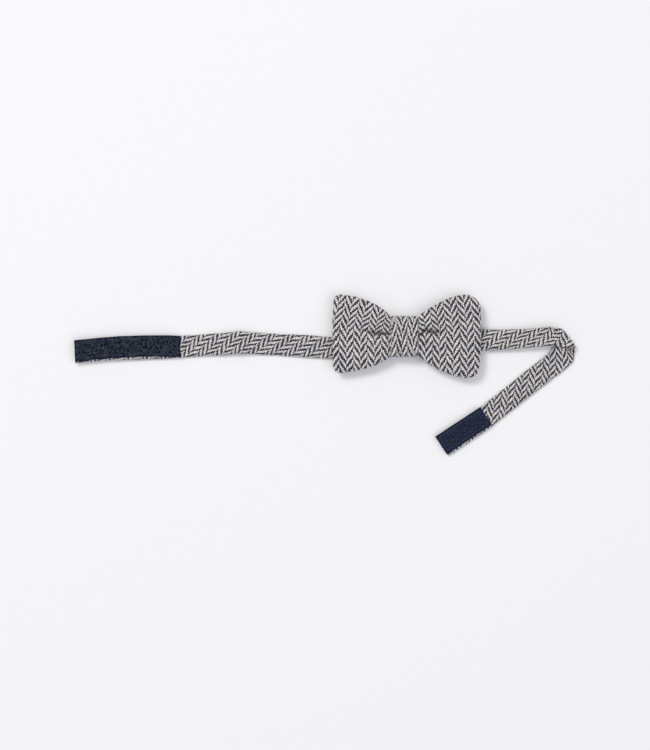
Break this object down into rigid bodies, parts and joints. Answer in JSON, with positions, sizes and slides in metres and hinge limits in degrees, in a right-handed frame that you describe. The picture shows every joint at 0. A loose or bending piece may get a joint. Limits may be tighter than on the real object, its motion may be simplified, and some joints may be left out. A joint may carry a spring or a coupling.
{
  "type": "pre-tied bow tie",
  "caption": "Pre-tied herringbone bow tie: two-ply bow in a wrapped knot on a bending cloth neck band that closes with hook and loop tape, shown open with its right end folded back.",
  "frame": {"origin": "centre of the flat back of the knot, the face that rests on the table or the collar", "axes": "+X along the neck band to the wearer's left as seen from the front, +Y up the bow, +Z out of the front of the bow"},
  "size_m": [0.303, 0.0954, 0.0107],
  "materials": {
    "herringbone": "navy and cream wool-look herringbone twill",
    "interlining": "plain white stiffener",
    "thread": "navy sewing thread",
    "tape_weave": "navy woven nylon",
    "tape_pile": "navy brushed loops",
    "tape_hooks": "navy nylon hooks in rows"
  },
  "bodies": {
    "bow": {"bow_front_ply": "herringbone", "bow_back_ply": "herringbone", "bow_interlining": "interlining", "waist_thread": "thread", "knot_wrap": "herringbone", "knot_interlining": "interlining", "knot_seam_stitches": "thread", "band_centre": "herringbone"},
    "left_1": {"left_band_1": "herringbone"},
    "left_2": {"left_band_2": "herringbone"},
    "left_3": {"left_band_3": "herringbone"},
    "left_4": {"left_band_4": "herringbone"},
    "left_end": {"left_band_5": "herringbone", "loop_tape_ground": "tape_weave", "loop_tape_pile": "tape_pile", "loop_tape_stitches": "thread"},
    "right_1": {"right_band_1": "herringbone"},
    "right_2": {"right_band_2": "herringbone"},
    "right_3": {"right_band_3": "herringbone"},
    "fold": {"fold_roll": "herringbone"},
    "tail_1": {"tail_band_1": "herringbone"},
    "tail_2": {"tail_band_2": "herringbone"},
    "right_end": {"tail_band_3": "herringbone", "hook_tape_ground": "tape_weave", "hook_tape_hooks": "tape_hooks", "hook_tape_stitches": "thread"}
  },
  "joints": [
    {"name": "left_bend_1", "type": "hinge", "parent": "bow", "child": "left_1", "pos_m": [-0.015, -0.0034, 0.0018], "axis": [0.06, -0.9982, 0], "range_deg": [0, 27]},
    {"name": "left_bend_2", "type": "hinge", "parent": "left_1", "child": "left_2", "pos_m": [-0.044, -0.0067, 0], "axis": [0.0281, -0.9996, 0], "range_deg": [0, 27]},
    {"name": "left_bend_3", "type": "hinge", "parent": "left_2", "child": "left_3", "pos_m": [-0.072, -0.0051, 0], "axis": [-0.0563, -0.9984, 0], "range_deg": [0, 30]},
    {"name": "left_bend_4", "type": "hinge", "parent": "left_3", "child": "left_4", "pos_m": [-0.099, -0.0036, 0.0018], "axis": [0.0066, -1, 0], "range_deg": [0, 31]},
    {"name": "left_bend_5", "type": "hinge", "parent": "left_4", "child": "left_end", "pos_m": [-0.1295, -0.0057, 0], "axis": [0.0565, -0.9984, 0], "range_deg": [0, 52]},
    {"name": "right_bend_1", "type": "hinge", "parent": "bow", "child": "right_1", "pos_m": [0.015, -0.0032, 0.0018], "axis": [-0.0192, 0.9998, 0], "range_deg": [0, 30]},
    {"name": "right_bend_2", "type": "hinge", "parent": "right_1", "child": "right_2", "pos_m": [0.0465, -0.0022, 0.0012], "axis": [-0.0404, 0.9992, 0], "range_deg": [0, 31]},
    {"name": "right_bend_3", "type": "hinge", "parent": "right_2", "child": "right_3", "pos_m": [0.075, -0.0008, 0.0026], "axis": [-0.0484, 0.9988, 0], "range_deg": [0, 40]},
    {"name": "fold_upper", "type": "hinge", "parent": "right_3", "child": "fold", "pos_m": [0.098, 0.0003, 0.0042], "axis": [0.3584, -0.9336, 0], "range_deg": [0, 90]},
    {"name": "fold_lower", "type": "hinge", "parent": "fold", "child": "tail_1", "pos_m": [0.098, 0.0003, 0.0022], "axis": [0.3584, -0.9336, 0], "range_deg": [0, 90]},
    {"name": "tail_bend_1", "type": "hinge", "parent": "tail_1", "child": "tail_2", "pos_m": [0.0865, -0.02, 0.0022], "axis": [-0.7581, 0.6521, 0], "range_deg": [0, 37]},
    {"name": "tail_bend_2", "type": "hinge", "parent": "tail_2", "child": "right_end", "pos_m": [0.0549, -0.0448, 0.0022], "axis": [-0.5844, 0.8114, 0], "range_deg": [0, 57]}
  ],
  "couplings": [
    {"joint": "left_bend_2", "follows": "left_bend_1", "ratio": 1},
    {"joint": "left_bend_3", "follows": "left_bend_1", "ratio": 1.1111},
    {"joint": "left_bend_4", "follows": "left_bend_1", "ratio": 1.1481},
    {"joint": "left_bend_5", "follows": "left_bend_1", "ratio": 1.9259},
    {"joint": "right_bend_2", "follows": "right_bend_1", "ratio": 1.0333},
    {"joint": "right_bend_3", "follows": "right_bend_1", "ratio": 1.3333},
    {"joint": "fold_lower", "follows": "fold_upper", "ratio": 1},
    {"joint": "tail_bend_1", "follows": "fold_upper", "ratio": 0.4111},
    {"joint": "tail_bend_2", "follows": "fold_upper", "ratio": 0.6333}
  ]
}
